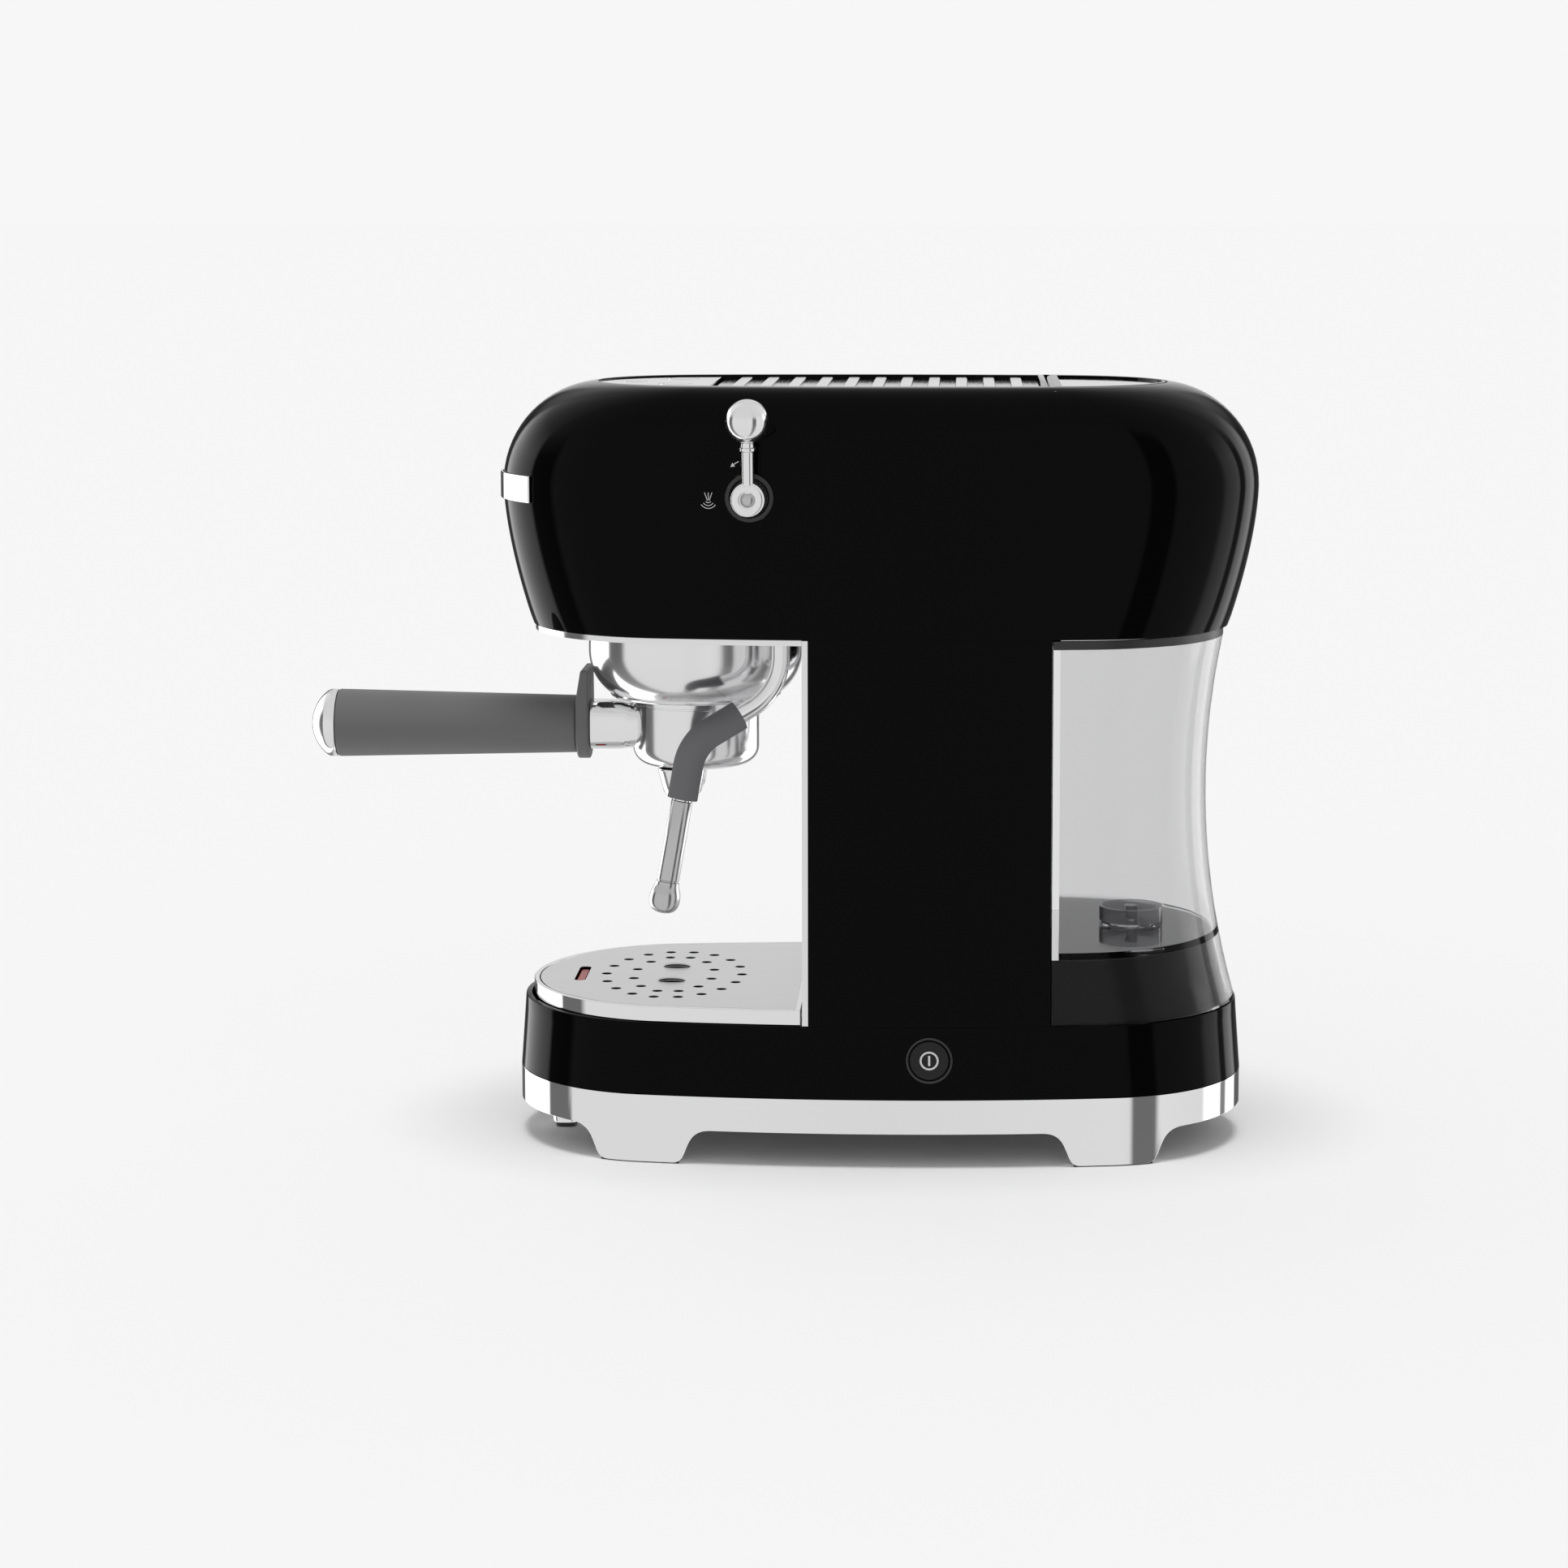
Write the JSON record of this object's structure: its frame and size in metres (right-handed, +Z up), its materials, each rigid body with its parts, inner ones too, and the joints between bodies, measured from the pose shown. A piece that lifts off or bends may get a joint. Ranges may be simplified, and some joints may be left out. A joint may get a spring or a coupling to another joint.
{
  "type": "espresso machine",
  "caption": "Slim countertop espresso machine with a lever-locked filter holder, swivelling steam wand, lift-out drip tray and slide-off rear water tank.",
  "frame": {"origin": "on the worktop plane under the middle of the body's outline", "axes": "+Z up; the filter holder's handle points to -Y and the water tank is at +Y; the steam lever and wand are at +X"},
  "size_m": [0.1705, 0.4188, 0.334],
  "materials": {
    "black_gloss": "high gloss",
    "black_matte": "fine texture",
    "dark_grey_plastic": "satin",
    "grey_grip": "soft satin",
    "grey_rubber": "soft matte",
    "black_rubber": "matte",
    "clear_tank": "clear, polished",
    "red_plastic": "gloss",
    "chrome": "mirror polished",
    "polished_steel": "polished",
    "satin_steel": "satin",
    "zinc_steel": "zinc plated",
    "cast_aluminium": "as cast",
    "brass": "machined",
    "board_green": "coated board"
  },
  "bodies": {
    "housing": {"base_ring": "chrome", "rubber_feet": "black_rubber", "front_foot": "chrome", "bottom_plate": "black_matte", "bottom_screws": "zinc_steel", "base_shell": "black_gloss", "bay_wall": "black_gloss", "column_shell": "black_gloss", "head_shell": "black_gloss", "backsplash": "polished_steel", "head_underplate": "polished_steel", "front_badge": "chrome", "control_panel": "polished_steel", "cup_warmer_plate": "polished_steel", "lid_hinge_pin": "zinc_steel", "fill_chute": "black_matte", "group_collar": "chrome", "group_head": "cast_aluminium", "group_gasket": "black_rubber", "shower_screen": "polished_steel", "thermoblock": "cast_aluminium", "tank_pedestal": "black_matte", "inlet_port": "black_rubber", "lever_bezel": "dark_grey_plastic", "steam_valve": "brass", "wand_socket": "brass", "steam_pipe": "zinc_steel", "power_bezel": "dark_grey_plastic", "power_switch": "black_matte", "pump": "black_matte", "pump_bracket": "zinc_steel", "water_hoses": "black_rubber", "control_board": "board_green", "cord_gland": "black_rubber"},
    "portafilter": {"portafilter_body": "chrome", "filter_basket": "polished_steel", "spout": "chrome", "handle_neck": "chrome", "handle_guard": "grey_grip", "handle_grip": "grey_grip", "handle_cap": "chrome"},
    "drip_tray": {"drip_basin": "polished_steel"},
    "drip_grid": {"drip_grid": "satin_steel"},
    "tray_float": {"tray_float": "red_plastic"},
    "water_tank": {"water_tank": "clear_tank", "tank_rim": "dark_grey_plastic", "tank_valve": "dark_grey_plastic"},
    "tank_lid": {"tank_lid": "black_gloss", "lid_plate": "polished_steel"},
    "button_left": {"button_left": "chrome"},
    "button_front": {"button_front": "chrome"},
    "button_right": {"button_right": "chrome"},
    "power_button": {"power_button": "dark_grey_plastic"},
    "steam_lever": {"lever_hub": "chrome", "lever_ball": "chrome"},
    "steam_wand": {"wand_tube": "polished_steel", "wand_joint": "chrome", "wand_grip": "grey_rubber", "frother_sleeve": "polished_steel", "frother_tip": "polished_steel"}
  },
  "joints": [
    {"name": "portafilter_lock", "type": "hinge", "parent": "housing", "child": "portafilter", "pos_m": [0, -0.0817, 0.2], "axis": [0, 0, 1], "range_deg": [-45, 0]},
    {"name": "drip_tray_lift", "type": "slide", "parent": "housing", "child": "drip_tray", "axis": [0, 0, 1], "range_m": [0, 0.026]},
    {"name": "drip_grid_lift", "type": "slide", "parent": "drip_tray", "child": "drip_grid", "axis": [0, 0, 1], "range_m": [0, 0.008]},
    {"name": "float_rise", "type": "slide", "parent": "drip_tray", "child": "tray_float", "axis": [0, 0, 1], "range_m": [0, 0.004]},
    {"name": "water_tank_slide", "type": "slide", "parent": "housing", "child": "water_tank", "axis": [0, 1, 0], "range_m": [0, 0.12]},
    {"name": "tank_lid_hinge", "type": "hinge", "parent": "housing", "child": "tank_lid", "pos_m": [0, 0.0752, 0.3314], "axis": [1, 0, 0], "range_deg": [0, 90]},
    {"name": "button_left_press", "type": "slide", "parent": "housing", "child": "button_left", "axis": [0, 0, -1], "range_m": [0, 0.0015], "stiffness_N_per_m": 300},
    {"name": "button_front_press", "type": "slide", "parent": "housing", "child": "button_front", "axis": [0, 0, -1], "range_m": [0, 0.0015], "stiffness_N_per_m": 300},
    {"name": "button_right_press", "type": "slide", "parent": "housing", "child": "button_right", "axis": [0, 0, -1], "range_m": [0, 0.0015], "stiffness_N_per_m": 300},
    {"name": "power_button_press", "type": "slide", "parent": "housing", "child": "power_button", "axis": [-1, 0, 0], "range_m": [0, 0.0015], "stiffness_N_per_m": 300},
    {"name": "steam_lever_turn", "type": "hinge", "parent": "housing", "child": "steam_lever", "pos_m": [0.08, -0.0535, 0.288], "axis": [1, 0, 0], "range_deg": [0, 90]},
    {"name": "steam_wand_swivel", "type": "hinge", "parent": "housing", "child": "steam_wand", "pos_m": [0.048, -0.0416, 0.227], "axis": [0, 0, 1], "range_deg": [0, 70]}
  ]
}
